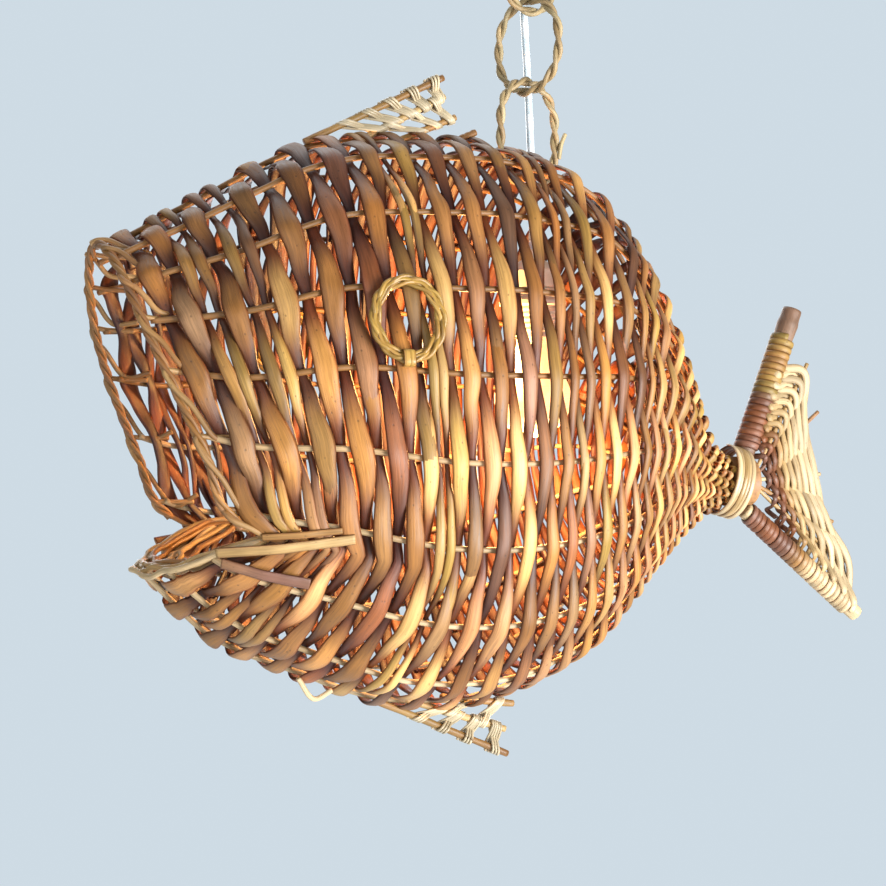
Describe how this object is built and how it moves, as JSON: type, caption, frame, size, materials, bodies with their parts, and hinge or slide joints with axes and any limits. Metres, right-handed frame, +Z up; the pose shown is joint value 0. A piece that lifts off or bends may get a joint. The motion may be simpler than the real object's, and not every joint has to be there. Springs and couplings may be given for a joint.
{
  "type": "woven wicker fish pendant lamp",
  "caption": "Woven willow pendant lampshade in the form of an open-mouthed fish, hung from a ceiling rose on twisted willow rings with a lit bulb inside.",
  "frame": {"origin": "centre of the ceiling plate's upper face, on the ceiling", "axes": "+Z up into the ceiling; +X from the fish's nose to its tail; the right flank faces -Y"},
  "size_m": [0.6557, 0.2742, 0.6942],
  "materials": {
    "painted_white": "satin white paint",
    "zinc_steel": "zinc-plated steel",
    "white_nylon": "moulded nylon",
    "twisted_willow": "peeled willow, twisted in two plies",
    "clear_flex": "clear PVC sheath over tinned copper",
    "willow_weave": "split and steamed willow, woven, oiled",
    "willow_stakes": "round brown willow",
    "pale_willow": "peeled white willow",
    "straw_skein": "shaved straw-coloured skein",
    "tail_willow": "barked willow wound with skein",
    "holder_cream": "cream thermoset",
    "brass_contact": "brass",
    "lamp_cap": "rolled aluminium",
    "lamp_glass": "frosted glass, lit warm",
    "lamp_stem": "glass stem and filament"
  },
  "bodies": {
    "ceiling": {"rose_backplate": "zinc_steel", "rose_cover": "painted_white", "rose_nut": "zinc_steel", "ceiling_hook": "zinc_steel", "cord_grip": "white_nylon", "terminal_block": "white_nylon", "flex_ceiling": "clear_flex"},
    "upper_ring": {"chain_ring_upper": "twisted_willow", "flex_upper": "clear_flex"},
    "middle_ring": {"chain_ring_middle": "twisted_willow", "flex_middle": "clear_flex"},
    "lower_ring": {"chain_ring_lower": "twisted_willow", "flex_lower": "clear_flex"},
    "lamp": {"flex_lamp": "clear_flex", "holder_cap": "holder_cream", "holder_skirt": "holder_cream", "holder_ring": "holder_cream", "holder_contact": "brass_contact"},
    "bulb": {"bulb_cap": "lamp_cap", "bulb_contact": "brass_contact", "bulb_glass": "lamp_glass", "bulb_filament": "lamp_stem"},
    "fish": {"belly_rods": "pale_willow", "belly_weave": "straw_skein", "dorsal_rods": "pale_willow", "dorsal_weave": "straw_skein", "eye_ring_left": "straw_skein", "eye_ring_right": "straw_skein", "eye_strap_left": "straw_skein", "eye_strap_right": "straw_skein", "hanging_rod": "willow_stakes", "jaw_rods": "pale_willow", "mouth_border": "willow_stakes", "stakes_back": "willow_stakes", "stakes_belly": "willow_stakes", "stakes_left": "willow_stakes", "stakes_right": "willow_stakes", "tail_core": "willow_stakes", "tail_rod_lower": "tail_willow", "tail_rod_upper": "tail_willow", "tail_tie": "straw_skein", "tail_warps": "pale_willow", "tail_web": "pale_willow", "tail_wrap_lower": "tail_willow", "tail_wrap_upper": "tail_willow", "weave_head": "willow_weave", "weave_middle": "willow_weave", "weave_rear": "willow_weave"}
  },
  "joints": [
    {"name": "hook_swing", "type": "hinge", "parent": "ceiling", "child": "upper_ring", "pos_m": [0, 0, -0.06], "axis": [-0.342, 0.9397, 0], "range_deg": [-12, 12], "deforming": ["flex_ceiling", "flex_upper", "flex_middle", "flex_lower", "flex_lamp"]},
    {"name": "upper_ring_swing", "type": "hinge", "parent": "upper_ring", "child": "middle_ring", "pos_m": [0, 0, -0.1233], "axis": [0.9397, 0.342, 0], "range_deg": [-12, 12], "deforming": ["flex_ceiling", "flex_upper", "flex_middle", "flex_lower", "flex_lamp"]},
    {"name": "middle_ring_swing", "type": "hinge", "parent": "middle_ring", "child": "lower_ring", "pos_m": [0, 0, -0.1853], "axis": [-0.342, 0.9397, 0], "range_deg": [-12, 12], "deforming": ["flex_ceiling", "flex_upper", "flex_middle", "flex_lower", "flex_lamp"]},
    {"name": "fish_tilt", "type": "hinge", "parent": "lower_ring", "child": "fish", "pos_m": [0, 0, -0.2583], "axis": [0.9397, 0.342, 0], "range_deg": [-4.5, 4.5], "deforming": ["flex_ceiling", "flex_upper", "flex_middle", "flex_lower", "flex_lamp"]},
    {"name": "lamp_swing", "type": "hinge", "parent": "fish", "child": "lamp", "pos_m": [0.01179, 0.0144, -0.23639], "axis": [0, 1, 0], "range_deg": [-10, 10], "deforming": ["flex_ceiling", "flex_upper", "flex_middle", "flex_lower", "flex_lamp"]},
    {"name": "bulb_removal", "type": "slide", "parent": "lamp", "child": "bulb", "axis": [0, 0, -1], "range_m": [0, 0.035]}
  ]
}
